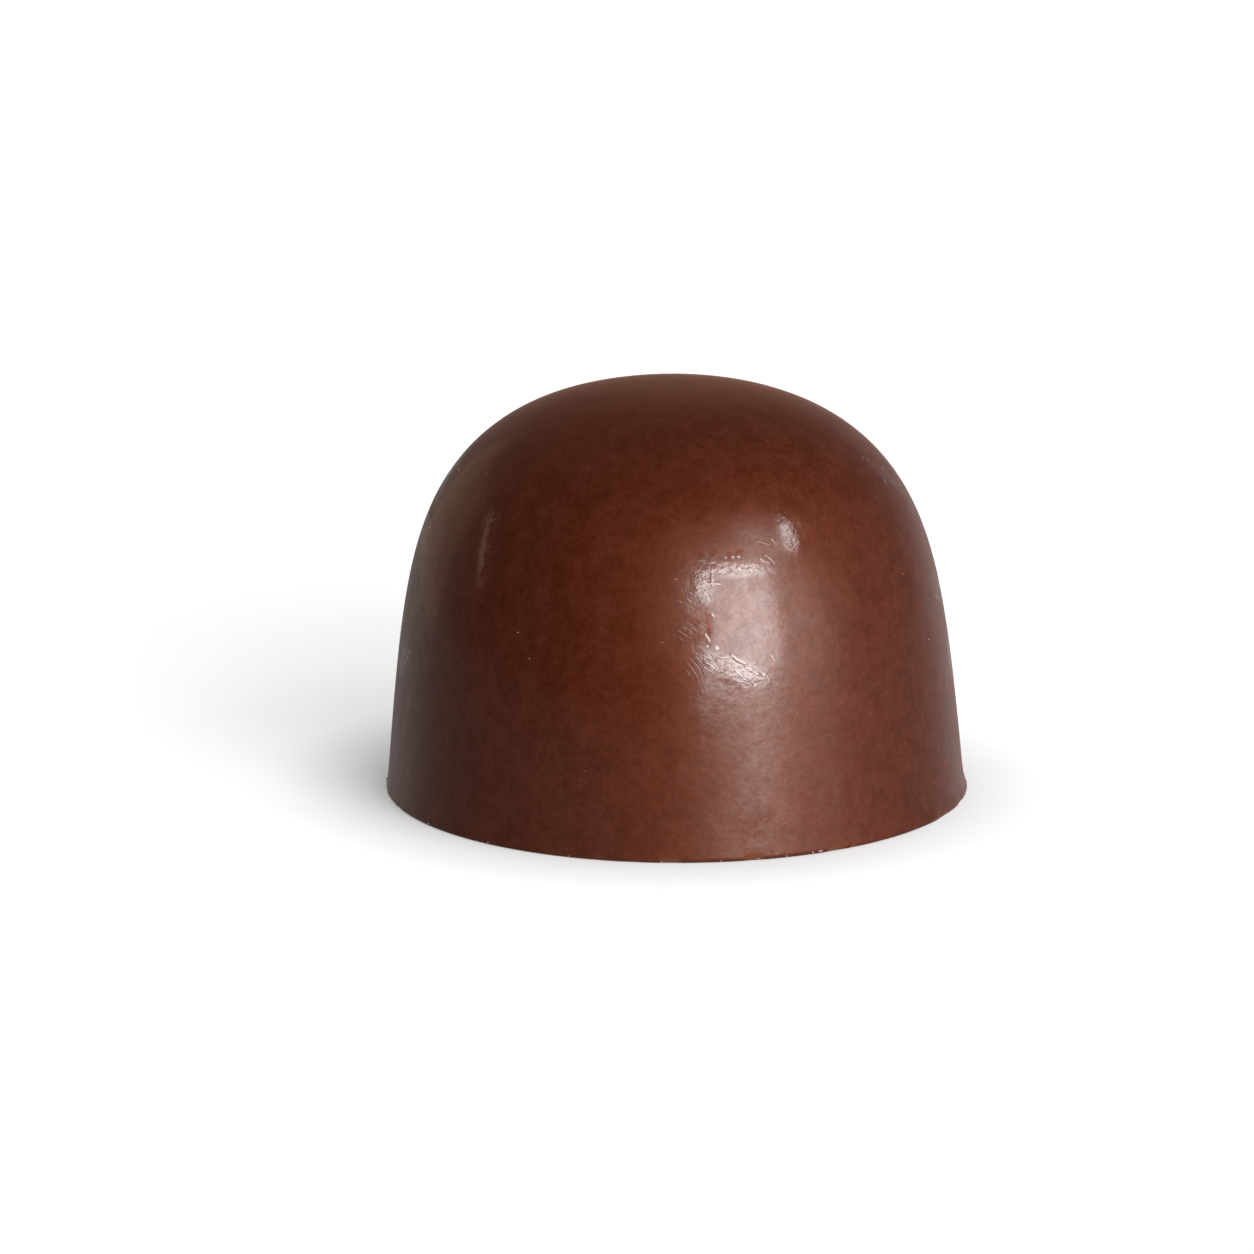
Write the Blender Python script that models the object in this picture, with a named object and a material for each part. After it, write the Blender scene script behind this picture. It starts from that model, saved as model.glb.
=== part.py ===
"""A moulded chocolate praline: one solid dome with drafted walls, a rounded crown and a flat base.

The outline is a superellipse that narrows upwards, turned about the Z axis. The crown leans a
hair to one side, as the shell does when it is knocked out of its mould, and a thin flash of
chocolate is left along two sides of the foot, where the scraper that levelled the mould dragged
it. Metres, +Z up, base on Z = 0.
"""

import math

import bmesh
import bpy
import numpy as np
from mathutils import Vector

# Driving dimensions.
BASE_RADIUS = 0.0140
HEIGHT = 0.01974
DRAFT_ANGLE = math.radians(5.5)
WALL_POWER = 4.62  # how far up the wall stays straight before it turns in
CROWN_POWER = 2.38  # how full the crown is
CROWN_LEAN = -0.00023  # sideways shift of the crown's centre, along X

# The flash at the foot: a thin lip that curves out of the wall, wide on the +X side, thin on the
# -X side and scraped clean away at the front and back.
FLASH_HEIGHT = 0.0010
FLASH_REACH_RIGHT = 0.00016
FLASH_REACH_LEFT = 0.00005
FLASH_SIDE_POWER = 4  # how closely the lip keeps to the two sides

# How finely the outline is cut into faces.
FLASH_RINGS = 3
WALL_RINGS = 28
SEGMENTS = 96
CURVE_SAMPLES = 4000

CHOCOLATE_COLOUR = (0.075, 0.018, 0.011, 1.0)
CHOCOLATE_ROUGHNESS = 0.3


def remove_all_objects():
    for thing in list(bpy.data.objects):
        bpy.data.objects.remove(thing, do_unlink=True)


def dome_outline():
    """Points (r, z) from the foot's edge to the crown's centre, closer together in the flash."""
    turn = np.linspace(0.0, math.pi / 2, CURVE_SAMPLES)
    z = HEIGHT * np.sin(turn) ** (2 / WALL_POWER)
    drafted_radius = BASE_RADIUS - z * math.tan(DRAFT_ANGLE)
    r = drafted_radius * np.cos(turn) ** (2 / CROWN_POWER)
    travelled = np.concatenate([[0.0], np.cumsum(np.hypot(np.diff(r), np.diff(z)))])
    flash_stops = np.linspace(0.0, FLASH_HEIGHT, FLASH_RINGS, endpoint=False)
    wall_stops = np.linspace(FLASH_HEIGHT, travelled[-1], WALL_RINGS + 1)
    stops = np.concatenate([flash_stops, wall_stops])
    return np.interp(stops, travelled, r), np.interp(stops, travelled, z)


def turned_solid():
    """The outline spun once round Z and closed underneath with one flat face."""
    radii, heights = dome_outline()
    mesh = bmesh.new()
    outline = [mesh.verts.new((r, 0.0, z)) for r, z in zip(radii, heights)]
    edges = [mesh.edges.new(pair) for pair in zip(outline, outline[1:])]
    bmesh.ops.spin(
        mesh,
        geom=outline + edges,
        cent=(0.0, 0.0, 0.0),
        axis=(0.0, 0.0, 1.0),
        angle=2 * math.pi,
        steps=SEGMENTS,
        use_merge=True,
    )
    bmesh.ops.remove_doubles(mesh, verts=mesh.verts, dist=1e-6)
    foot_edges = [edge for edge in mesh.edges if edge.is_boundary]
    bmesh.ops.edgeloop_fill(mesh, edges=foot_edges)
    bmesh.ops.recalc_face_normals(mesh, faces=mesh.faces)
    return mesh


def push_out_flash(mesh):
    """Curves the lowest wall out into a lip that thins to nothing at FLASH_HEIGHT."""
    for vert in mesh.verts:
        share = max(0.0, 1.0 - vert.co.z / FLASH_HEIGHT)
        if share == 0.0:
            continue
        outwards = Vector((vert.co.x, vert.co.y, 0.0)).normalized()
        side_reach = FLASH_REACH_RIGHT if outwards.x > 0.0 else FLASH_REACH_LEFT
        reach = side_reach * abs(outwards.x) ** FLASH_SIDE_POWER
        vert.co += outwards * reach * share**2


def lean_crown(mesh):
    """Shears the solid so that its crown stands off-centre while its base stays put."""
    for vert in mesh.verts:
        vert.co.x += CROWN_LEAN * vert.co.z / HEIGHT


def centre_over_origin(mesh):
    """Slides the solid so that its box is centred on the Z axis."""
    across = [vert.co.x for vert in mesh.verts]
    deep = [vert.co.y for vert in mesh.verts]
    middle = Vector((max(across) + min(across), max(deep) + min(deep), 0.0)) / 2
    bmesh.ops.translate(mesh, verts=mesh.verts, vec=-middle)


def chocolate():
    material = bpy.data.materials.new("chocolate")
    material.use_nodes = True
    shader = material.node_tree.nodes["Principled BSDF"]
    shader.inputs["Base Color"].default_value = CHOCOLATE_COLOUR
    shader.inputs["Roughness"].default_value = CHOCOLATE_ROUGHNESS
    shader.inputs["Metallic"].default_value = 0.0
    return material


def make_praline():
    solid = turned_solid()
    push_out_flash(solid)
    lean_crown(solid)
    centre_over_origin(solid)
    data = bpy.data.meshes.new("praline")
    solid.to_mesh(data)
    solid.free()
    data.shade_smooth()
    data.set_sharp_from_angle(angle=math.radians(50))
    data.materials.append(chocolate())
    praline = bpy.data.objects.new("praline", data)
    bpy.context.scene.collection.objects.link(praline)
    return praline


remove_all_objects()
make_praline()
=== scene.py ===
# %% [markdown]
# # A moulded chocolate praline
# A praline like this one is cast upside down: melted chocolate fills a polished cup, sets,
# shrinks a little and is knocked out. The polished cup gives it its gloss, and the knocking,
# packing and handling leave fine scuffs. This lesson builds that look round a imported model
# that already has the right size, so every place below is read from the model.

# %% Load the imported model
import math
import random

import bmesh
import bpy
import numpy as np
from mathutils import Matrix, Vector, noise
from mathutils.bvhtree import BVHTree


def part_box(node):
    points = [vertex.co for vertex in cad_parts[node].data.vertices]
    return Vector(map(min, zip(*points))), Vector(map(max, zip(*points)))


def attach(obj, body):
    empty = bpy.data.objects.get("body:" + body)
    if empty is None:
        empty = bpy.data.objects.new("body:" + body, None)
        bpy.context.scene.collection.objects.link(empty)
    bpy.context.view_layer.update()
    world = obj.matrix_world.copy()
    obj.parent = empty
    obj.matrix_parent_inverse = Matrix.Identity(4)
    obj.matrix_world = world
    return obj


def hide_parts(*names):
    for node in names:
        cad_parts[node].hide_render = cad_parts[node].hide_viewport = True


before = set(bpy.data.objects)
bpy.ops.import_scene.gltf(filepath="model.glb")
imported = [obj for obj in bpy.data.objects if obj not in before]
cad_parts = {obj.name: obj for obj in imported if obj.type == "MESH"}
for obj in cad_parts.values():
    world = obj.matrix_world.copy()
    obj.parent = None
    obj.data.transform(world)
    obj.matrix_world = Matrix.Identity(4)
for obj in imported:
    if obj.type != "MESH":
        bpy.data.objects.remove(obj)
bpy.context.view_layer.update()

MM = 0.001
low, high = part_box("praline")
print("praline measures", [round(side / MM, 2) for side in high - low], "mm")

# %% [markdown]
# ## The outline
# The dome is a body of revolution, so its whole form is one curve. It could be drawn point by
# point, but a superellipse narrowed by the mould's draft gives straight walls that roll over
# into a full crown with only two powers to choose, and it stays smooth at any fineness. The
# points are spaced evenly along the curve, because points spaced evenly in height would leave
# long faces on the flat crown.

# %% Outline of the wall and crown
FLASH_REACH_RIGHT = 0.16 * MM
FLASH_REACH_LEFT = 0.05 * MM
HEIGHT = high.z
BASE_RADIUS = (high.y - low.y) / 2
AXIS_X = high.x - BASE_RADIUS - FLASH_REACH_RIGHT
DRAFT_ANGLE = math.radians(5.5)
WALL_POWER = 4.62
CROWN_POWER = 2.38
WALL_RINGS = 132
CURVE_SAMPLES = 6000


def dome_outline():
    """Points (r, z) from the foot's edge to the crown's centre, evenly spaced along the curve."""
    turn = np.linspace(0.0, math.pi / 2, CURVE_SAMPLES)
    z = HEIGHT * np.sin(turn) ** (2 / WALL_POWER)
    drafted_radius = BASE_RADIUS - z * math.tan(DRAFT_ANGLE)
    r = drafted_radius * np.cos(turn) ** (2 / CROWN_POWER)
    travelled = np.concatenate([[0.0], np.cumsum(np.hypot(np.diff(r), np.diff(z)))])
    stops = np.linspace(0.0, travelled[-1], WALL_RINGS + 1)
    return list(zip(np.interp(stops, travelled, r), np.interp(stops, travelled, z)))


outline = dome_outline()
print("outline has", len(outline), "points")

# %% [markdown]
# ## Turning the dome
# Spin sweeps a profile round an axis, as a potter's wheel does. The profile here starts at the
# middle of the underside, runs out to the foot and climbs to the top of the crown, so one full
# turn closes the shape. Every step of the spin copies the points on the axis, so they are
# merged afterwards, and only then are the normals made to point outwards. A narrow bevel takes
# the knife edge off the foot, where set chocolate never stays sharp.

# %% Spin the profile
SEGMENTS = 576
BASE_RINGS = 16
FOOT_ANGLE = math.radians(60)  # only the foot's edge is sharper than this
FOOT_EDGE_RADIUS = 0.07 * MM
MERGE_WITHIN = 0.0001 * MM

dome = bmesh.new()
under_radii = np.linspace(0.0, BASE_RADIUS, BASE_RINGS, endpoint=False)
profile = [dome.verts.new((r, 0.0, 0.0)) for r in under_radii]
profile += [dome.verts.new((r, 0.0, z)) for r, z in outline]
profile_edges = [dome.edges.new(pair) for pair in zip(profile, profile[1:])]
bmesh.ops.spin(
    dome,
    geom=profile + profile_edges,
    cent=(0.0, 0.0, 0.0),
    axis=(0.0, 0.0, 1.0),
    angle=2 * math.pi,
    steps=SEGMENTS,
    use_merge=True,
)
bmesh.ops.remove_doubles(dome, verts=dome.verts, dist=MERGE_WITHIN)
bmesh.ops.recalc_face_normals(dome, faces=dome.faces)
foot = [edge for edge in dome.edges if edge.calc_face_angle(0.0) > FOOT_ANGLE]
bmesh.ops.bevel(
    dome,
    geom=foot,
    offset=FOOT_EDGE_RADIUS,
    segments=2,
    profile=0.5,
    affect="EDGES",
    material=-1,
)
print("turned dome has", len(dome.faces), "faces")

# %% [markdown]
# ## The foot
# When the mould is scraped level, the scraper drags a thin flash of chocolate over its rim. It
# leaves a lip on two sides of the foot, and small bits of the edge break off. The lip is made
# by pushing the lowest wall outwards, and the chips by pushing short stretches of the edge back
# in. How much each point is chipped is also stored on the mesh, so that the finish can show
# the paler broken chocolate there.

# %% Flash and chips
FLASH_HEIGHT = 1.0 * MM
FLASH_SIDE_POWER = 4
CHIP_HEIGHT = 0.3 * MM
CHIP_DEPTH = 0.05 * MM
CHIP_COUNT = 34
CHIP_STEEPNESS = 1.6
FLASH_RAGGEDNESS = 0.15
FLASH_WAVES = 9.0  # of the noise, across one base radius
OUTER_BASE = 0.97 * BASE_RADIUS

chip_draw = random.Random(11)
chips = [
    (chip_draw.uniform(0, 360), chip_draw.uniform(0.6, 2.4), chip_draw.uniform(0.2, 1.0))
    for _ in range(CHIP_COUNT)
]


def turn_of(place):
    """Degrees round the axis from the front, positive towards +X."""
    return math.degrees(math.atan2(place.x, -place.y))


def chipped(turn, z):
    """How much of the edge is broken off at this turn, 0 to 1."""
    most = 0.0
    for middle, half_width, strength in chips:
        away = (turn - middle + 180.0) % 360.0 - 180.0
        across = max(0.0, 1.0 - abs(away) / half_width)
        most = max(most, strength * min(1.0, CHIP_STEEPNESS * across))
    return most * max(0.0, 1.0 - z / CHIP_HEIGHT)


chip_of = {}
for vert in dome.verts:
    share = max(0.0, 1.0 - vert.co.z / FLASH_HEIGHT)
    if share == 0.0 or vert.co.xy.length < OUTER_BASE:
        continue
    out = Vector((vert.co.x, vert.co.y, 0.0)).normalized()
    side_reach = FLASH_REACH_RIGHT if out.x > 0.0 else FLASH_REACH_LEFT
    ragged = 1.0 - FLASH_RAGGEDNESS * (1.0 - noise.noise(out * FLASH_WAVES))
    vert.co += out * side_reach * ragged * abs(out.x) ** FLASH_SIDE_POWER * share**2
    broken = chipped(turn_of(vert.co), vert.co.z)
    vert.co -= out * CHIP_DEPTH * broken
    chip_of[vert] = broken
print("chips round the foot:", len(chips))

# %% [markdown]
# ## Small unevenness
# Set chocolate follows its mould to a hair, yet it shrinks unevenly, and reflections show it.
# Each point moves along its normal by a few hundredths of a millimetre of smooth noise: slow
# swells over the whole dome, and finer ripples. The crown also leans a hair to one side. The
# underside gets shallow drag marks from the scraper, cut upwards so that the foot stays lowest.

# %% Swells, ripples and drag marks
CROWN_LEAN = -0.23 * MM
SWELL_SIZE, SWELL_DEPTH = 6.0 * MM, 0.022 * MM
RIPPLE_SIZE, RIPPLE_DEPTH = 1.6 * MM, 0.0022 * MM
DRAG_SIZE, DRAG_DEPTH, DRAG_STRETCH = 1.2 * MM, 0.05 * MM, 8
DRAG_EDGE = 0.93 * BASE_RADIUS
STEADY_BELOW = 1.2 * MM
UNDERSIDE = -0.7  # normals below this point down

dome.normal_update()
for vert in dome.verts:
    place = vert.co.copy()
    if vert.normal.z < UNDERSIDE:
        rim_share = min(1.0, max(0.0, (DRAG_EDGE - place.xy.length) / MM))
        along = Vector((place.x, DRAG_STRETCH * place.y, 0.0)) / DRAG_SIZE
        vert.co.z += DRAG_DEPTH * (0.5 + 0.5 * noise.noise(along)) * rim_share
        continue
    swell = SWELL_DEPTH * noise.noise(place / SWELL_SIZE)
    ripple = RIPPLE_DEPTH * noise.noise(place / RIPPLE_SIZE)
    vert.co += vert.normal * (swell + ripple) * min(1.0, place.z / STEADY_BELOW)
for vert in dome.verts:
    vert.co.x += AXIS_X + CROWN_LEAN * vert.co.z / HEIGHT
crown_top = max(vert.co.z for vert in dome.verts)
print("dome stands", round(crown_top / MM, 2), "mm high with its swells")

# %% [markdown]
# ## From bmesh to object
# The finished mesh becomes an object at the origin whose points already stand in the right
# place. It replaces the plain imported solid, which stays in the file for collision. The surface
# tree made here finds places on the dome's skin, for the ridges and crumbs that come later.

# %% Make the dome an object


def piece_from(mesh, name):
    """A smooth-shaded object made from a bmesh, at the origin and linked to the scene."""
    data = bpy.data.meshes.new(name)
    mesh.to_mesh(data)
    data.shade_smooth()
    piece = bpy.data.objects.new(name, data)
    bpy.context.scene.collection.objects.link(piece)
    return piece


dome.verts.index_update()
chip_values = np.zeros(len(dome.verts))
for vert, broken in chip_of.items():
    chip_values[vert.index] = broken
shell = piece_from(dome, "chocolate_dome")
surface_tree = BVHTree.FromBMesh(dome)
dome.free()
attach(shell, "root")
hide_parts("praline")
print("dome triangles:", sum(len(face.vertices) - 2 for face in shell.data.polygons))

# %% [markdown]
# ## Where the chocolate was handled
# A moulded praline leaves its cup evenly glossy. Later it is rubbed against its neighbours,
# which burnishes some spots and scratches others, and a fingertip dulls it. Each such place is
# a soft-edged oval on the wall, given by its turn from the front, its height, its half width
# and half height, its tilt and its strength. A given list puts the marks at the front, and a
# seeded draw scatters their kind round the rest. The ovals are stored as point attributes,
# because a finish can read those without any image.

# %% Handling marks
rubbed = [
    (13.2, 13.42, 2.1, 0.36, -4, 1.0),
    (5.8, 12.9, 0.45, 1.0, 4, 1.0),
    (11.8, 8.85, 1.75, 0.5, -24, 1.0),
    (27.8, 14.7, 0.5, 1.0, 15, 1.0),
    (-49.8, 13.7, 0.3, 1.6, 12, 0.8),
]
dulled = [
    (5.4, 10.9, 0.45, 1.1, 0, 0.7),
    (-6.0, 8.6, 2.6, 1.6, 20, 0.25),
    (16.5, 0.9, 1.5, 1.5, 0, 0.3),
    (5.3, 14.0, 0.17, 0.15, 0, 1.0),
    (8.3, 14.1, 0.15, 0.13, 0, 1.0),
    (12.0, 14.0, 0.18, 0.14, 0, 1.0),
    (14.4, 14.05, 0.2, 0.15, 20, 1.0),
]
scratched = [(3.2, 11.0, 0.9, 1.0, 0, 0.8), (5.6, 8.9, 0.7, 0.8, 0, 0.6)]

BACK_TURNS = (72.0, 283.0)
MARK_HEIGHTS = (2.0, 17.0)
mark_draw = random.Random(29)
for marks, count, widest in ((rubbed, 26, 1.5), (dulled, 12, 2.4), (scratched, 9, 2.4)):
    for _ in range(count):
        turn = mark_draw.uniform(*BACK_TURNS)
        height = mark_draw.uniform(*MARK_HEIGHTS)
        half_width = widest * mark_draw.uniform(0.3, 1.0)
        half_height = widest * mark_draw.uniform(0.2, 0.8)
        tilt = mark_draw.uniform(-60.0, 60.0)
        marks.append((turn, height, half_width, half_height, tilt, mark_draw.uniform(0.3, 0.9)))

points = np.empty(3 * len(shell.data.vertices))
shell.data.vertices.foreach_get("co", points)
points = points.reshape(-1, 3) / MM
point_turns = np.degrees(np.arctan2(points[:, 0], -points[:, 1]))
point_radii = np.hypot(points[:, 0], points[:, 1])


def oval_share(turn, height, half_width, half_height, tilt, strength):
    """How far each point of the dome lies inside one mark, from 0 to the mark's strength."""
    across = np.radians((point_turns - turn + 180.0) % 360.0 - 180.0) * point_radii
    up = points[:, 2] - height
    lean = math.radians(tilt)
    along = (across * math.cos(lean) + up * math.sin(lean)) / half_width
    over = (up * math.cos(lean) - across * math.sin(lean)) / half_height
    # Full strength out to half of the oval's size, nothing beyond one and a half times.
    inside = np.clip(1.5 - np.hypot(along, over), 0.0, 1.0)
    return strength * inside * inside * (3.0 - 2.0 * inside)


def store(piece, name, values):
    """Keeps one number for each point of a piece, for its finish to read by name."""
    layer = piece.data.attributes.new(name, "FLOAT", "POINT")
    layer.data.foreach_set("value", np.asarray(values, np.float32))


store(shell, "chip", chip_values)
store(shell, "crest", np.zeros(len(points)))
for name, marks in (("rubbed", rubbed), ("dulled", dulled), ("scratched", scratched)):
    store(shell, name, np.max([oval_share(*mark) for mark in marks], axis=0))
    print(name, "marks:", len(marks))

# %% [markdown]
# ## Helpers for finishes
# A finish is a tree of nodes. These helpers keep the tree readable: each makes one node, sets
# or links its inputs, and hands back the output that the next step needs.

# %% Node helpers


def node(tree, kind, inputs=None, **settings):
    """A new node with its settings made and its inputs set or linked."""
    made = tree.nodes.new(kind)
    for name, value in settings.items():
        setattr(made, name, value)
    for name, value in (inputs or {}).items():
        if isinstance(value, bpy.types.NodeSocket):
            tree.links.new(value, made.inputs[name])
        else:
            made.inputs[name].default_value = value
    return made


def math_of(tree, operation, first, second=0.0, clamp=False):
    """The result of one operation on two values."""
    inputs = {0: first, 1: second}
    made = node(tree, "ShaderNodeMath", inputs, operation=operation, use_clamp=clamp)
    return made.outputs[0]


def scaled_plus(tree, value, factor, extra):
    """The value times a factor, plus something extra."""
    inputs = {0: value, 1: factor, 2: extra}
    return node(tree, "ShaderNodeMath", inputs, operation="MULTIPLY_ADD").outputs[0]


def remap(tree, value, low_in, high_in, low_out, high_out):
    """The value moved from one range to another, and kept inside it."""
    limits = {"Value": value, "From Min": low_in, "From Max": high_in}
    limits.update({"To Min": low_out, "To Max": high_out})
    return node(tree, "ShaderNodeMapRange", limits).outputs["Result"]


def spread(tree, grey, low_out, high_out):
    """Noise moved to a range. Most of its own values lie between 0.3 and 0.7."""
    return remap(tree, grey, 0.3, 0.7, low_out, high_out)


def blend(tree, share, first, second):
    """A colour that turns from the first to the second as the share grows."""
    inputs = {0: share, 6: first, 7: second}
    return node(tree, "ShaderNodeMix", inputs, data_type="RGBA").outputs[2]


def marks_on(tree, name):
    """The numbers that a piece stores under this name."""
    return node(tree, "ShaderNodeAttribute", attribute_name=name).outputs["Fac"]


# %% [markdown]
# ## Fine patterns in the chocolate
# Three small patterns make the surface. Clouds are plain noise at one size. Hairlines are
# noise stretched along one direction and narrowed to its middle value, which leaves thin
# broken lines, as rubbing does. Arcs are rings round one point below the front, the track of
# a fingertip or a cloth that swung past it. All of them read the object's own coordinates, so
# they stay on the praline from every side.

# %% Patterns
LINE_HALF_WIDTH = 0.09  # of the noise's own range, on both sides of its middle


def clouds(tree, size, detail=2.0, roughness=0.5, stretch=1.0, shift=0.0):
    """Noise with features of about this size, stretched along Z or shifted if asked."""
    place = node(tree, "ShaderNodeTexCoord").outputs["Object"]
    inputs = {"Vector": place, "Location": (shift, shift, shift), "Scale": (1, 1, 1 / stretch)}
    sized = node(tree, "ShaderNodeMapping", inputs)
    inputs = {"Vector": sized.outputs[0], "Scale": 1 / size, "Detail": detail}
    inputs["Roughness"] = roughness
    return node(tree, "ShaderNodeTexNoise", inputs).outputs["Fac"]


def hairlines(tree, width, length, tilt):
    """Thin broken lines that lean by tilt from the vertical, 1 on a line and 0 between."""
    place = node(tree, "ShaderNodeTexCoord").outputs["Object"]
    inputs = {"Vector": place, "Rotation": (0.0, math.radians(tilt), 0.0)}
    turned = node(tree, "ShaderNodeMapping", inputs)
    inputs = {"Vector": turned.outputs[0], "Scale": (1 / width, 1 / width, 1 / length)}
    sized = node(tree, "ShaderNodeMapping", inputs)
    inputs = {"Vector": sized.outputs[0], "Scale": 1.0, "Detail": 1.0}
    grain = node(tree, "ShaderNodeTexNoise", inputs)
    off_middle = math_of(tree, "ABSOLUTE", math_of(tree, "SUBTRACT", grain.outputs["Fac"], 0.5))
    return remap(tree, off_middle, 0.0, LINE_HALF_WIDTH, 1.0, 0.0)


def arcs(tree, middle, spacing):
    """Thin rings round a point, 1 on a ring and 0 between."""
    place = node(tree, "ShaderNodeTexCoord").outputs["Object"]
    centred = node(tree, "ShaderNodeVectorMath", {0: place, 1: middle}, operation="SUBTRACT")
    rings = node(
        tree,
        "ShaderNodeTexWave",
        {
            "Vector": centred.outputs[0],
            "Scale": math.pi / 10 / spacing,
            "Distortion": 2.5,
            "Detail": 2.0,
            "Detail Scale": 0.6,
        },
        wave_type="RINGS",
        rings_direction="SPHERICAL",
    )
    return remap(tree, rings.outputs["Fac"], 0.8, 1.0, 0.0, 1.0)


# %% [markdown]
# ## Chocolate
# Set chocolate is matt brown inside, with a smooth skin of cocoa butter. Light that enters it
# comes out reddish, and the skin reflects white. One glossy layer can't do both, so the base
# gets a broad reddish haze, a faint sheen warms its edges, and a thin coat over it gives the
# clear white gloss. These values are the same everywhere, so they are set on the shader itself.
# What changes from place to place follows in its own cells: colour, gloss and relief.

# %% Chocolate finish
HAZE_TINT = (1.0, 0.30, 0.12, 1.0)
SHEEN_TINT = (1.0, 0.32, 0.13, 1.0)

chocolate = bpy.data.materials.new("chocolate")
chocolate.use_nodes = True
tree = chocolate.node_tree
shader = tree.nodes["Principled BSDF"]
for name, value in (
    ("IOR", 1.5),
    ("Specular IOR Level", 0.56),
    ("Specular Tint", HAZE_TINT),
    ("Coat IOR", 1.7),
    ("Coat Roughness", 0.14),
    ("Sheen Weight", 0.12),
    ("Sheen Roughness", 0.4),
    ("Sheen Tint", SHEEN_TINT),
):
    shader.inputs[name].default_value = value

rub = marks_on(tree, "rubbed")
dull = marks_on(tree, "dulled")
scratch = marks_on(tree, "scratched")
chip = marks_on(tree, "chip")
crest = marks_on(tree, "crest")
print("nodes so far:", len(tree.nodes))

# %% [markdown]
# ## Its colour
# No patch of chocolate is one flat brown. Cocoa and sugar grains mottle it at every size from
# blotches to dots, the pour leaves faint upright streaks, and bloom, the pale cocoa butter that
# settles on the skin, dusts the lighter grains. An image could hold all that, but noise in the
# object's own coordinates has no seams and no end of detail. The haze is given its own slow
# noise, so that some patches look waxier than others.

# %% Chocolate colour
BROWN = (0.047, 0.0052, 0.0004)
BLOOM_COLOUR = (0.50, 0.42, 0.38, 1.0)
BLOOM_MOST = 0.015
CHIP_COLOUR = (0.17, 0.085, 0.05, 1.0)
CHIP_PALENESS = 0.6

grains = clouds(tree, 1.3 * MM, 5.0, 1.0)
mottle = spread(tree, grains, 0.68, 1.32)
pour_streaks = spread(tree, clouds(tree, 0.5 * MM, 2.0, 0.6, 12.0), 0.93, 1.07)
tone_and_painted_shade = math_of(tree, "MULTIPLY", mottle, pour_streaks)
brown = node(tree, "ShaderNodeVectorMath", {0: BROWN, "Scale": tone_and_painted_shade}, operation="SCALE")
bloom = remap(tree, grains, 0.40, 0.62, 0.0, BLOOM_MOST)
bloomed = blend(tree, bloom, brown.outputs[0], BLOOM_COLOUR)
tinted = blend(tree, math_of(tree, "MULTIPLY", chip, CHIP_PALENESS), bloomed, CHIP_COLOUR)
tree.links.new(tinted, shader.inputs["Base Color"])
waxy_patches = clouds(tree, 2.0 * MM, 5.0, 0.8, shift=1.0)
haze_roughness = spread(tree, waxy_patches, 0.49, 0.61)
tree.links.new(haze_roughness, shader.inputs["Roughness"])
print("nodes after the colour:", len(tree.nodes))

# %% [markdown]
# ## Its gloss
# The mould's polish is never even: a fine grain runs through the gloss everywhere. Burnished
# spots shine more along hairlines that cross in three directions, and so do the crests of
# ridges, which are added in a later cell. A fingertip dulls the gloss in patches, and broken
# edges have none. All of it is one number, the weight of the coat.

# %% Chocolate gloss
GLOSS = 0.40
CREST_GLOSS = 0.35
CHIP_GLOSS_LOSS = 0.6
DULL_GLOSS_LOSS = 0.45
HAIRLINES = ((0.30, 1.3, 62), (0.32, 1.2, -52), (0.26, 0.9, 8))  # width, length and tilt

lines = 0.0
for width, length, tilt in HAIRLINES:
    lines = math_of(tree, "MAXIMUM", lines, hairlines(tree, width * MM, length * MM, tilt))
grain = spread(tree, clouds(tree, 0.7 * MM, 4.0, 1.0, shift=2.0), 0.6, 1.4)
burnish = math_of(tree, "MULTIPLY", rub, remap(tree, lines, 0.0, 1.0, 0.10, 0.50))
patchy = remap(tree, clouds(tree, 0.5 * MM, 2.0), 0.4, 0.6, 0.5, 1.0)
dulling = math_of(tree, "MULTIPLY", dull, math_of(tree, "MULTIPLY", patchy, DULL_GLOSS_LOSS))
gloss = scaled_plus(tree, grain, GLOSS, burnish)
gloss = scaled_plus(tree, crest, CREST_GLOSS, gloss)
gloss = math_of(tree, "SUBTRACT", gloss, dulling)
broken_loss = math_of(tree, "MULTIPLY", chip, CHIP_GLOSS_LOSS)
gloss = math_of(tree, "SUBTRACT", gloss, broken_loss, clamp=True)
tree.links.new(gloss, shader.inputs["Coat Weight"])
print("nodes after the gloss:", len(tree.nodes))

# %% [markdown]
# ## Its relief
# The skin has wrinkles and hairlines a few microns deep, deeper where it was rubbed, and a
# cloth has left arcs beside the front. Bump is enough for them, because nobody sees such marks
# as shape, only as broken reflections. The coat needs its own link to the bump, or the gloss
# would stay a perfect mirror over a rough base.

# %% Chocolate relief
BUMP_DEPTH = 0.012 * MM
ARC_MIDDLE = Vector((-1.74, -13.19, 7.1)) * MM
ARC_SPACING = 0.25 * MM
ARC_CUT = 0.7

wrinkles = clouds(tree, 0.32 * MM, 3.0, 0.5)
wrinkle_depth = scaled_plus(tree, rub, 1.3, 0.5)
line_depth = scaled_plus(tree, rub, 0.05, 0.03)
arc_lines = arcs(tree, ARC_MIDDLE, ARC_SPACING)
arc_breaks = remap(tree, clouds(tree, 0.9 * MM, 2.0), 0.45, 0.6, 0.0, 1.0)
arc_cut = math_of(tree, "MULTIPLY", math_of(tree, "MULTIPLY", arc_lines, arc_breaks), scratch)
relief = math_of(tree, "MULTIPLY", wrinkles, wrinkle_depth)
relief = scaled_plus(tree, lines, line_depth, relief)
relief = math_of(tree, "SUBTRACT", relief, math_of(tree, "MULTIPLY", arc_cut, ARC_CUT))
bump = node(tree, "ShaderNodeBump", {"Height": relief, "Distance": BUMP_DEPTH, "Strength": 1.0})
tree.links.new(bump.outputs["Normal"], shader.inputs["Normal"])
tree.links.new(bump.outputs["Normal"], shader.inputs["Coat Normal"])
shell.data.materials.append(chocolate)
print("nodes in the chocolate:", len(tree.nodes))

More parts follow.
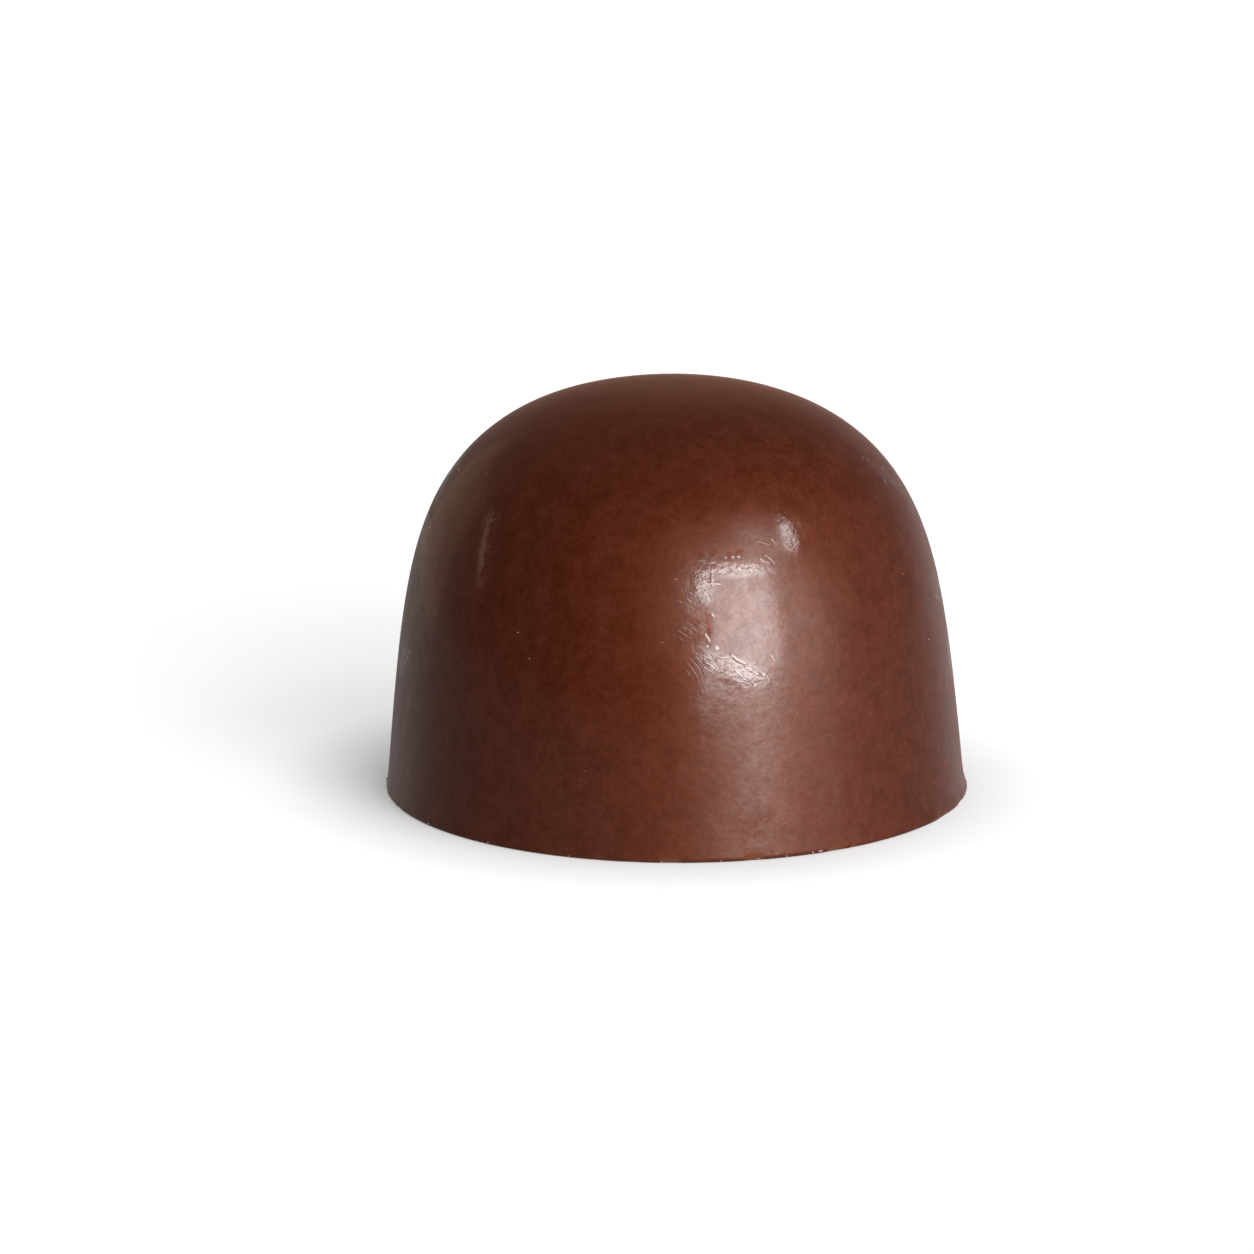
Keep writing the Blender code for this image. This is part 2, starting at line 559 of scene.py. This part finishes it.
# %% [markdown]
# ## Ridges
# A mould picks up scratches, and each one casts a tiny ridge that glints where it is tilted
# towards a light. They could be bump, but a ridge that really stands up glints from every side.
# Each starts as a ball, is laid along a line, bent a little and pressed onto the dome, so that
# only its crest, two or three thousandths of a millimetre high, stands out. A broad ridge gets
# polished along its crest and a thin one hardly at all, which an attribute tells the finish.
# The list gives the turn, height, length, width and tilt of the ones in and beside the
# burnished spots at the front, and a seeded draw adds the others.

# %% Places of the ridges
RIDGES_PER_MARK = 5
DEGREES_PER_MM = 4.0  # round the wall
ridges = [
    (5.8, 13.8, 0.28, 0.11, -2),
    (5.1, 13.5, 0.24, 0.10, -88),
    (4.0, 13.3, 0.14, 0.11, 0),
    (7.7, 13.1, 1.20, 0.13, 88),
    (7.6, 12.8, 1.05, 0.12, -2),
    (5.9, 12.9, 0.30, 0.11, -50),
    (6.5, 12.3, 0.85, 0.12, -64),
    (-0.3, 13.0, 0.14, 0.10, 0),
    (2.7, 12.4, 0.24, 0.10, -38),
    (2.3, 12.1, 0.33, 0.09, -46),
    (-0.2, 12.1, 0.60, 0.07, -19),
    (0.4, 11.8, 1.20, 0.06, -8),
    (11.1, 13.9, 0.20, 0.11, -17),
    (12.8, 13.9, 0.21, 0.12, -30),
    (14.2, 13.9, 0.24, 0.11, -41),
    (11.0, 13.4, 0.45, 0.12, -29),
    (14.1, 13.4, 0.30, 0.17, -58),
    (16.7, 13.3, 0.35, 0.16, -31),
    (20.4, 13.6, 0.70, 0.12, -28),
    (21.9, 13.7, 0.80, 0.10, -46),
    (20.9, 14.4, 0.80, 0.09, -22),
    (7.6, 11.4, 0.30, 0.10, -55),
    (-1.6, 11.1, 0.90, 0.07, -17),
    (1.8, 10.7, 0.80, 0.07, -41),
    (0.1, 10.5, 0.90, 0.06, -41),
    (6.3, 10.4, 0.60, 0.11, -59),
    (8.2, 9.9, 0.26, 0.22, -10),
    (6.2, 10.0, 0.15, 0.15, -20),
    (6.1, 9.5, 0.70, 0.09, -25),
    (7.0, 9.1, 0.85, 0.12, -35),
    (6.5, 8.9, 0.70, 0.09, -35),
    (9.7, 9.45, 0.55, 0.10, 6),
    (12.6, 9.3, 1.05, 0.15, -33),
    (15.5, 8.8, 0.95, 0.14, -32),
    (13.2, 8.6, 0.90, 0.13, -44),
    (17.8, 8.6, 0.45, 0.14, -40),
    (15.9, 8.1, 0.22, 0.14, -29),
    (18.9, 8.4, 0.80, 0.09, -62),
    (20.2, 9.3, 0.55, 0.10, -55),
    (13.6, 8.3, 1.00, 0.09, -15),
    (27.3, 15.1, 0.70, 0.12, -77),
    (28.3, 14.9, 0.50, 0.12, -63),
    (27.4, 14.3, 0.55, 0.12, -23),
    (23.5, 14.4, 0.65, 0.09, -53),
]
ridge_draw = random.Random(17)
for turn, height, half_width, half_height, _, _ in rubbed[4:]:
    for _ in range(RIDGES_PER_MARK):
        ridge_turn = turn + DEGREES_PER_MM * half_width * ridge_draw.uniform(-1.0, 1.0)
        ridge_height = height + half_height * ridge_draw.uniform(-1.0, 1.0)
        length = ridge_draw.uniform(0.3, 0.9)
        width = ridge_draw.uniform(0.08, 0.14)
        ridges.append((ridge_turn, ridge_height, length, width, ridge_draw.uniform(-80, 80)))
print("ridges:", len(ridges))

# %% [markdown]
# ## Finding a place on the skin
# Ridges and crumbs are given by their turn and height, and the skin's exact place depends on
# the swells. So a ray is sent straight in from a point outside, and the surface tree tells
# where it lands and which way the skin faces there. Two more directions lie in the skin, one
# along the wall and one up it.

# %% Places on the skin
CLEAR_OF_WALL = 1.2  # base radii from the axis


def outside_at(turn, height):
    """A point off the wall, at this turn in degrees and this height in millimetres."""
    around = math.radians(turn)
    out = Vector((math.sin(around), -math.cos(around), 0.0))
    return out * CLEAR_OF_WALL * BASE_RADIUS + Vector((0.0, 0.0, height * MM))


def skin_inwards_of(outside):
    """The place on the skin straight in from a point, and the ways out, along and up there."""
    inwards = Vector((-outside.x, -outside.y, 0.0))
    place, out, _, _ = surface_tree.ray_cast(outside, inwards)
    along = Vector((-outside.y, outside.x, 0.0)).normalized()
    return place, out, along, out.cross(along).normalized()


front_place = skin_inwards_of(outside_at(0.0, 10.0))[0]
print("skin at the front, 10 mm up, is", round(-front_place.y / MM, 2), "mm out")

# %% [markdown]
# ## Laying a ridge
# A ball is scaled into a long, thin grain in the plane that touches the dome at the ridge's
# middle, and each of its points is then moved to the nearest place on the dome. Its height
# above the skin comes from the ball's own height, so the ridge rises and ends smoothly.

# %% Ridges
RIDGE_RISE = 0.0026 * MM
RIDGE_SINK = 0.1  # of its rise, so that its rim lies under the skin
FULL_CREST_WIDTH = 0.12
RIDGE_SPREAD = 0.65  # half its width, with a little more for the part under the skin
RIDGE_BEND = 0.12  # of its length, at most


def add_ridge(mesh, turn, height, length, width, tilt):
    """One thin ridge of this length and width, laid on the dome. Gives its crest's share."""
    place, _, sideways, upwards = skin_inwards_of(outside_at(turn, height))
    lean = math.radians(tilt)
    along = sideways * math.cos(lean) + upwards * math.sin(lean)
    across = upwards * math.cos(lean) - sideways * math.sin(lean)
    bend = ridge_draw.uniform(-RIDGE_BEND, RIDGE_BEND) * length * MM
    share = min(1.0, (width / FULL_CREST_WIDTH) ** 2)
    made = bmesh.ops.create_icosphere(mesh, subdivisions=2, radius=1.0)["verts"]
    for vert in made:
        x, y, z = vert.co
        flat = place + along * (x * length * MM / 2)
        flat += across * (y * width * MM * RIDGE_SPREAD + bend * x * x)
        on_dome, facing, _, _ = surface_tree.find_nearest(flat)
        vert.co = on_dome + facing * RIDGE_RISE * share * (z - RIDGE_SINK)
    return [share] * len(made)


ridge_mesh = bmesh.new()
crest_shares = []
for ridge in ridges:
    crest_shares += add_ridge(ridge_mesh, *ridge)
ridge_piece = piece_from(ridge_mesh, "ridges")
ridge_mesh.free()
for name in ("crest", "rubbed"):
    store(ridge_piece, name, crest_shares)
for name in ("dulled", "scratched", "chip"):
    store(ridge_piece, name, np.zeros(len(crest_shares)))
ridge_piece.data.materials.append(chocolate)
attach(ridge_piece, "root")
print("points in the ridges:", len(crest_shares))

# %% [markdown]
# ## Crumbs
# Dust from the mould and bits of the broken edge cling to the praline as pale specks. They are
# real little lumps, because a speck that stands out catches light on its own. Each starts as
# a ball of a few dozen faces, is squashed and turned, and is pressed into the nearest point
# of the dome. They are joined into one mesh, as one piece of the same kind. Specks sit
# anywhere on the wall and flecks along the edge of the foot, and each has its turn, height and
# length in the lists.

# %% Places of the crumbs
MORE_SPECKS, MORE_FLECKS = 46, 26
speck_places = [(-0.6, 13.0, 0.07), (-3.1, 10.2, 0.08), (-35.1, 10.1, 0.07), (-31.6, 9.0, 0.06)]
speck_places += [(24.8, 6.6, 0.07), (11.0, 5.2, 0.05), (33.0, 10.9, 0.05), (-18.0, 4.1, 0.05)]
fleck_places = [(28.6, 0.1, 0.28), (26.9, 0.08, 0.12), (21.4, 0.06, 0.1), (15.7, 0.05, 0.1)]
fleck_places += [(8.4, 0.05, 0.09), (-2.9, 0.05, 0.1), (-21.0, 0.06, 0.08), (-39.0, 0.08, 0.1)]
crumb_draw = random.Random(5)
for _ in range(MORE_SPECKS):
    speck_places.append(
        (crumb_draw.uniform(60, 300), crumb_draw.uniform(1, 17), crumb_draw.uniform(0.04, 0.08))
    )
for _ in range(MORE_FLECKS):
    fleck_places.append(
        (crumb_draw.uniform(45, 315), crumb_draw.uniform(0.05, 0.1), crumb_draw.uniform(0.08, 0.25))
    )
print("specks:", len(speck_places), "flecks:", len(fleck_places))

# %% [markdown]
# ## Pressing a crumb on
# Noise makes each ball lumpy. One matrix squashes it, the next turns it along the wall, and the
# last sinks it a little into the dome, because a crumb that only touches looks as if it floats.

# %% Crumbs
PRESSED_IN = 0.3
CRUMB_LUMPINESS = 0.35
LUMP_SIZE = 0.4 * MM
LUMP_SHIFT = 9000  # takes each crumb to its own part of the noise
THICKEST_FLECK = 0.08


def add_crumb(mesh, turn, height, length, thickness):
    """One lump of this length, lying along the wall and pressed into it."""
    outside = outside_at(turn, height)
    place, normal, sideways, upwards = skin_inwards_of(outside)
    made = bmesh.ops.create_icosphere(mesh, subdivisions=2, radius=0.5 * MM)["verts"]
    for vert in made:
        lump = noise.noise(vert.co / LUMP_SIZE + outside * LUMP_SHIFT)
        vert.co *= 1.0 + CRUMB_LUMPINESS * lump
    axes = Matrix((sideways, upwards, normal)).transposed().to_4x4()
    size = Matrix.Diagonal((length, thickness, thickness, 1.0))
    sink = Matrix.Translation(place + normal * (0.5 - PRESSED_IN) * thickness * MM * 0.5)
    bmesh.ops.transform(mesh, matrix=sink @ axes @ size, verts=made)


crumbs = bmesh.new()
for turn, height, length in speck_places:
    add_crumb(crumbs, turn, height, length, 0.75 * length)
for turn, height, length in fleck_places:
    add_crumb(crumbs, turn, height, length, min(THICKEST_FLECK, 0.7 * length))
crumb_piece = piece_from(crumbs, "crumbs")
crumbs.free()
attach(crumb_piece, "root")
print("crumb faces:", len(crumb_piece.data.polygons))

# %% [markdown]
# ## Crumb finish
# Broken chocolate scatters light at once instead of letting it in, so crumbs look paler and
# have no coat. A little noise keeps them from all being the same brown.

# %% Crumb finish
DARK_CRUMB = (0.22, 0.10, 0.06, 1.0)
PALE_CRUMB = (0.42, 0.27, 0.21, 1.0)
CRUMB_CLOUD = 0.12 * MM
pale = bpy.data.materials.new("broken_chocolate")
pale.use_nodes = True
pale_tree = pale.node_tree
pale_shader = pale_tree.nodes["Principled BSDF"]
pale_shader.inputs["Roughness"].default_value = 0.6
pale_mix = blend(pale_tree, clouds(pale_tree, CRUMB_CLOUD), DARK_CRUMB, PALE_CRUMB)
pale_tree.links.new(pale_mix, pale_shader.inputs["Base Color"])
crumb_piece.data.materials.append(pale)
print("nodes in the crumb finish:", len(pale_tree.nodes))

# %% [markdown]
# ## Camera
# The camera looks slightly down at the front from far away with a long lens, which keeps the
# dome free of perspective. It aims a little beside and below the praline's middle, which
# places it in the frame without any lens shift.

# %% Camera
VIEW_ELEVATION = math.radians(13.5)
VIEW_DISTANCE = 20 * BASE_RADIUS
AIM_LEFT = 0.1686 * BASE_RADIUS
AIM_DOWN = 0.1457 * BASE_RADIUS
SENSOR_WIDTH = 36.0
LENS = 166.9
NEAREST, FARTHEST = 0.01, 20.0
middle = Vector((AXIS_X, 0.0, HEIGHT / 2))
to_camera = Vector((0.0, -math.cos(VIEW_ELEVATION), math.sin(VIEW_ELEVATION)))
camera_up = Vector((0.0, math.sin(VIEW_ELEVATION), math.cos(VIEW_ELEVATION)))
camera = bpy.data.objects.new("camera", bpy.data.cameras.new("camera"))
camera.data.sensor_width = SENSOR_WIDTH
camera.data.lens = LENS
camera.data.clip_start = NEAREST
camera.data.clip_end = FARTHEST
camera.location = middle + to_camera * VIEW_DISTANCE
aim = middle - Vector((AIM_LEFT, 0.0, 0.0)) - camera_up * AIM_DOWN
camera.rotation_euler = (aim - camera.location).to_track_quat("-Z", "Y").to_euler()
bpy.context.scene.collection.objects.link(camera)
bpy.context.scene.camera = camera
print("camera stands", round(VIEW_DISTANCE / MM), "mm from the praline")

# %% [markdown]
# ## Lights
# Gloss is only as good as what it reflects. One nearly square softbox stands to the front
# right, a small panel above it and a faint tall one at the left. The light that comes back
# from the far left is weak and warm, as from a wooden wall. Each panel is given by where it
# appears from the praline, how wide and high it looks in degrees, and its radiance, because
# those are what the gloss shows. Its real size then follows from its distance.

# %% Light panels
LIGHT_DISTANCE = 1.1
WARM = (1.0, 0.62, 0.5)
WOODEN = (1.0, 0.55, 0.25)


def direction(azimuth, elevation):
    """The unit vector towards a place in the studio. Azimuth 0 is the camera's side."""
    turn, lift = math.radians(azimuth), math.radians(elevation)
    level = math.cos(lift)
    return Vector((math.sin(turn) * level, -math.cos(turn) * level, math.sin(lift)))


def soft_panel(name, azimuth, elevation, width, height, radiance, roll=0.0):
    """A rectangular light that faces the praline. Angles in degrees, as the praline sees it."""
    out = direction(azimuth, elevation)
    light = bpy.data.lights.new(name, "AREA")
    light.shape = "RECTANGLE"
    light.size = 2 * LIGHT_DISTANCE * math.tan(math.radians(width) / 2)
    light.size_y = 2 * LIGHT_DISTANCE * math.tan(math.radians(height) / 2)
    light.energy = radiance * math.pi * light.size * light.size_y
    panel = bpy.data.objects.new(name, light)
    panel.location = middle + out * LIGHT_DISTANCE
    facing = (-out).to_track_quat("-Z", "Y").to_matrix()
    panel.rotation_euler = (facing @ Matrix.Rotation(math.radians(roll), 3, "Z")).to_euler()
    bpy.context.scene.collection.objects.link(panel)
    print(name, "is", round(light.size, 3), "by", round(light.size_y, 3), "m")
    return panel


soft_panel("key_panel", 27.3, 17.2, 35.5, 30.4, 6.0, roll=5.4)
soft_panel("upper_panel", 66.0, 38.4, 7.0, 15.0, 6.5, roll=-42.0)
left_strip = soft_panel("left_strip", -102.2, 17.4, 2.5, 22.0, 2.3, roll=41.0)
left_strip.data.color = WARM
left_wall = soft_panel("left_wall", -136.0, 10.0, 34.0, 30.0, 0.26)
left_wall.data.color = WOODEN

# %% [markdown]
# ## Studio room
# A softbox never ends sharply: its diffuser spills a wide glow, and pale walls and the table
# add faint light from every side. The world shader adds that up from a few round glows, a
# bright table below the horizon and a dim ceiling. Matt chocolate gathers light from the whole
# room at once, so the rays that it sends out also find a wide fill from both sides and from
# behind, which the gloss never shows. Rays from the camera see plain white instead, so that
# the praline stands in an even white setting.

# %% Studio room
WALL_LEVEL = 0.04
CEILING_LEVEL = 0.04
TABLE_LEVELS = (0.16, 0.29)  # at the side and in front
MATT_FILL = 0.09

world = bpy.data.worlds.new("studio")
bpy.context.scene.world = world
world.use_nodes = True
studio = world.node_tree
studio.nodes.clear()
ray_direction = node(studio, "ShaderNodeTexCoord").outputs["Generated"]
parts_of_ray = node(studio, "ShaderNodeSeparateXYZ", {0: ray_direction})
upward = parts_of_ray.outputs["Z"]
frontward = math_of(studio, "MULTIPLY", parts_of_ray.outputs["Y"], -1.0, clamp=True)


def glow(azimuth, elevation, reach, level):
    """A round glow that fades over about this many degrees."""
    toward = direction(azimuth, elevation)
    inputs = {0: ray_direction, 1: toward}
    facing = node(studio, "ShaderNodeVectorMath", inputs, operation="DOT_PRODUCT")
    away = math_of(studio, "SUBTRACT", facing.outputs["Value"], 1.0)
    sharpness = 1.0 / math.radians(reach) ** 2
    fade = math_of(studio, "EXPONENT", math_of(studio, "MULTIPLY", away, sharpness))
    return math_of(studio, "MULTIPLY", fade, level)


table_level = remap(studio, frontward, 0.0, 1.0, *TABLE_LEVELS)
table_share = remap(studio, upward, -0.07, -0.01, 1.0, 0.0)
ceiling = remap(studio, upward, 0.5, 1.0, 0.0, CEILING_LEVEL)
table_light = math_of(studio, "MULTIPLY", table_level, table_share)
room_light = math_of(studio, "ADD", math_of(studio, "ADD", table_light, WALL_LEVEL), ceiling)
# Each glow's azimuth, elevation and reach in degrees, and its level.
glows = (
    (32.5, 18.5, 14.0, 8.1),
    (34.0, 4.0, 7.0, 4.6),
    (50.0, 40.5, 7.0, 3.6),
    (60.0, 8.0, 10.0, 1.75),
    (80.0, 8.0, 20.0, 0.32),
    (150.0, -8.0, 18.0, 0.45),
    (-142.0, -4.0, 20.0, 0.25),
)
for place in glows:
    room_light = math_of(studio, "ADD", room_light, glow(*place))
fill_glows = ((72.0, 10.0, 30.0, 1.6), (-115.0, 5.0, 22.0, 0.35), (165.0, -12.0, 25.0, 2.4))
wide_fill = MATT_FILL
for place in fill_glows:
    wide_fill = math_of(studio, "ADD", wide_fill, glow(*place))
matt_rays = node(studio, "ShaderNodeLightPath").outputs["Is Diffuse Ray"]
fill = math_of(studio, "MULTIPLY", matt_rays, wide_fill)
room_light = math_of(studio, "ADD", room_light, fill)
room = node(studio, "ShaderNodeBackground", {"Strength": room_light})
white = node(studio, "ShaderNodeBackground", {"Color": (1.0, 1.0, 1.0, 1.0)})
camera_rays = node(studio, "ShaderNodeLightPath").outputs["Is Camera Ray"]
seen = node(studio, "ShaderNodeMixShader", {0: camera_rays, 1: room.outputs[0], 2: white.outputs[0]})
node(studio, "ShaderNodeOutputWorld", {"Surface": seen.outputs[0]})
print("glows:", len(glows), "and", len(fill_glows), "for the matt chocolate only")

# %% [markdown]
# ## Floor
# The praline stands on a white table that is lit until it is almost pure white, which leaves
# only a soft grey shadow close to the foot. Part of the white is painted light: the floor glows
# by itself, though it is no lamp, and ambient occlusion darkens that glow where the praline is
# very near. This makes a painted contact shadow that deepens the shadow the lamps cast round the
# foot. Seen from behind, the gloss meets the softbox at a grazing angle and the crown's edge
# turns white, so beyond a few centimetres on that side the table is grey and serves as a
# backdrop. The floor is kept out of reflections and bounces, because the room shader already
# holds the table's light.

# %% Floor
FLOOR_RADIUS = 0.8
FLOOR_WHITE = 0.6
# The floor's own painted glow, an emission where there is no lamp, and how far and how steeply the
# painted contact shadow darkens it.
FLOOR_GLOW_LEVEL = 0.57
PAINTED_SHADE_REACH = 7 * MM
PAINTED_SHADE_POWER = 1.3
SHEET_EDGE = 60 * MM
SHEET_FADE = 20 * MM
BACKDROP_GREY = 0.5
FLOOR_GAP = 0.02 * MM
floor_mesh = bmesh.new()
bmesh.ops.create_circle(floor_mesh, cap_ends=True, segments=128, radius=FLOOR_RADIUS)
floor = piece_from(floor_mesh, "floor")
floor_mesh.free()
floor.location.z = -FLOOR_GAP
floor_look = bpy.data.materials.new("floor")
floor_look.use_nodes = True
floor_tree = floor_look.node_tree
floor_tree.nodes.clear()
floor_place = node(floor_tree, "ShaderNodeTexCoord").outputs["Object"]
toward_key = {0: floor_place, 1: direction(45.0, 0.0)}
out_there = node(floor_tree, "ShaderNodeVectorMath", toward_key, operation="DOT_PRODUCT")
sheet_end = SHEET_EDGE + SHEET_FADE
sheet = remap(floor_tree, out_there.outputs["Value"], SHEET_EDGE, sheet_end, 1.0, BACKDROP_GREY)
matt_white = math_of(floor_tree, "MULTIPLY", sheet, FLOOR_WHITE)
matt = node(floor_tree, "ShaderNodeBsdfDiffuse", {"Color": matt_white})
# Ambient occlusion darkens the floor's painted glow near the praline: a painted contact shadow.
tone_and_painted_shade = node(floor_tree, "ShaderNodeAmbientOcclusion", {"Distance": PAINTED_SHADE_REACH}, samples=6)
ao_openness = tone_and_painted_shade.outputs["AO"]
share_outside_painted_shade = math_of(floor_tree, "POWER", ao_openness, PAINTED_SHADE_POWER)
floor_glow_with_painted_shade = math_of(floor_tree, "MULTIPLY", share_outside_painted_shade, FLOOR_GLOW_LEVEL)
floor_glow_with_painted_shade = math_of(floor_tree, "MULTIPLY", floor_glow_with_painted_shade, sheet)
# The floor's painted glow, with the painted contact shadow in it, is added to the lamp-lit matt
# white.
painted_floor_glow = node(floor_tree, "ShaderNodeEmission", {"Strength": floor_glow_with_painted_shade})
both = node(floor_tree, "ShaderNodeAddShader", {0: matt.outputs[0], 1: painted_floor_glow.outputs[0]})
node(floor_tree, "ShaderNodeOutputMaterial", {"Surface": both.outputs[0]})
floor.data.materials.append(floor_look)
floor.visible_diffuse = False
floor.visible_glossy = False
bpy.context.scene.view_settings.view_transform = "Standard"
print("floor is", 2 * FLOOR_RADIUS, "m across")
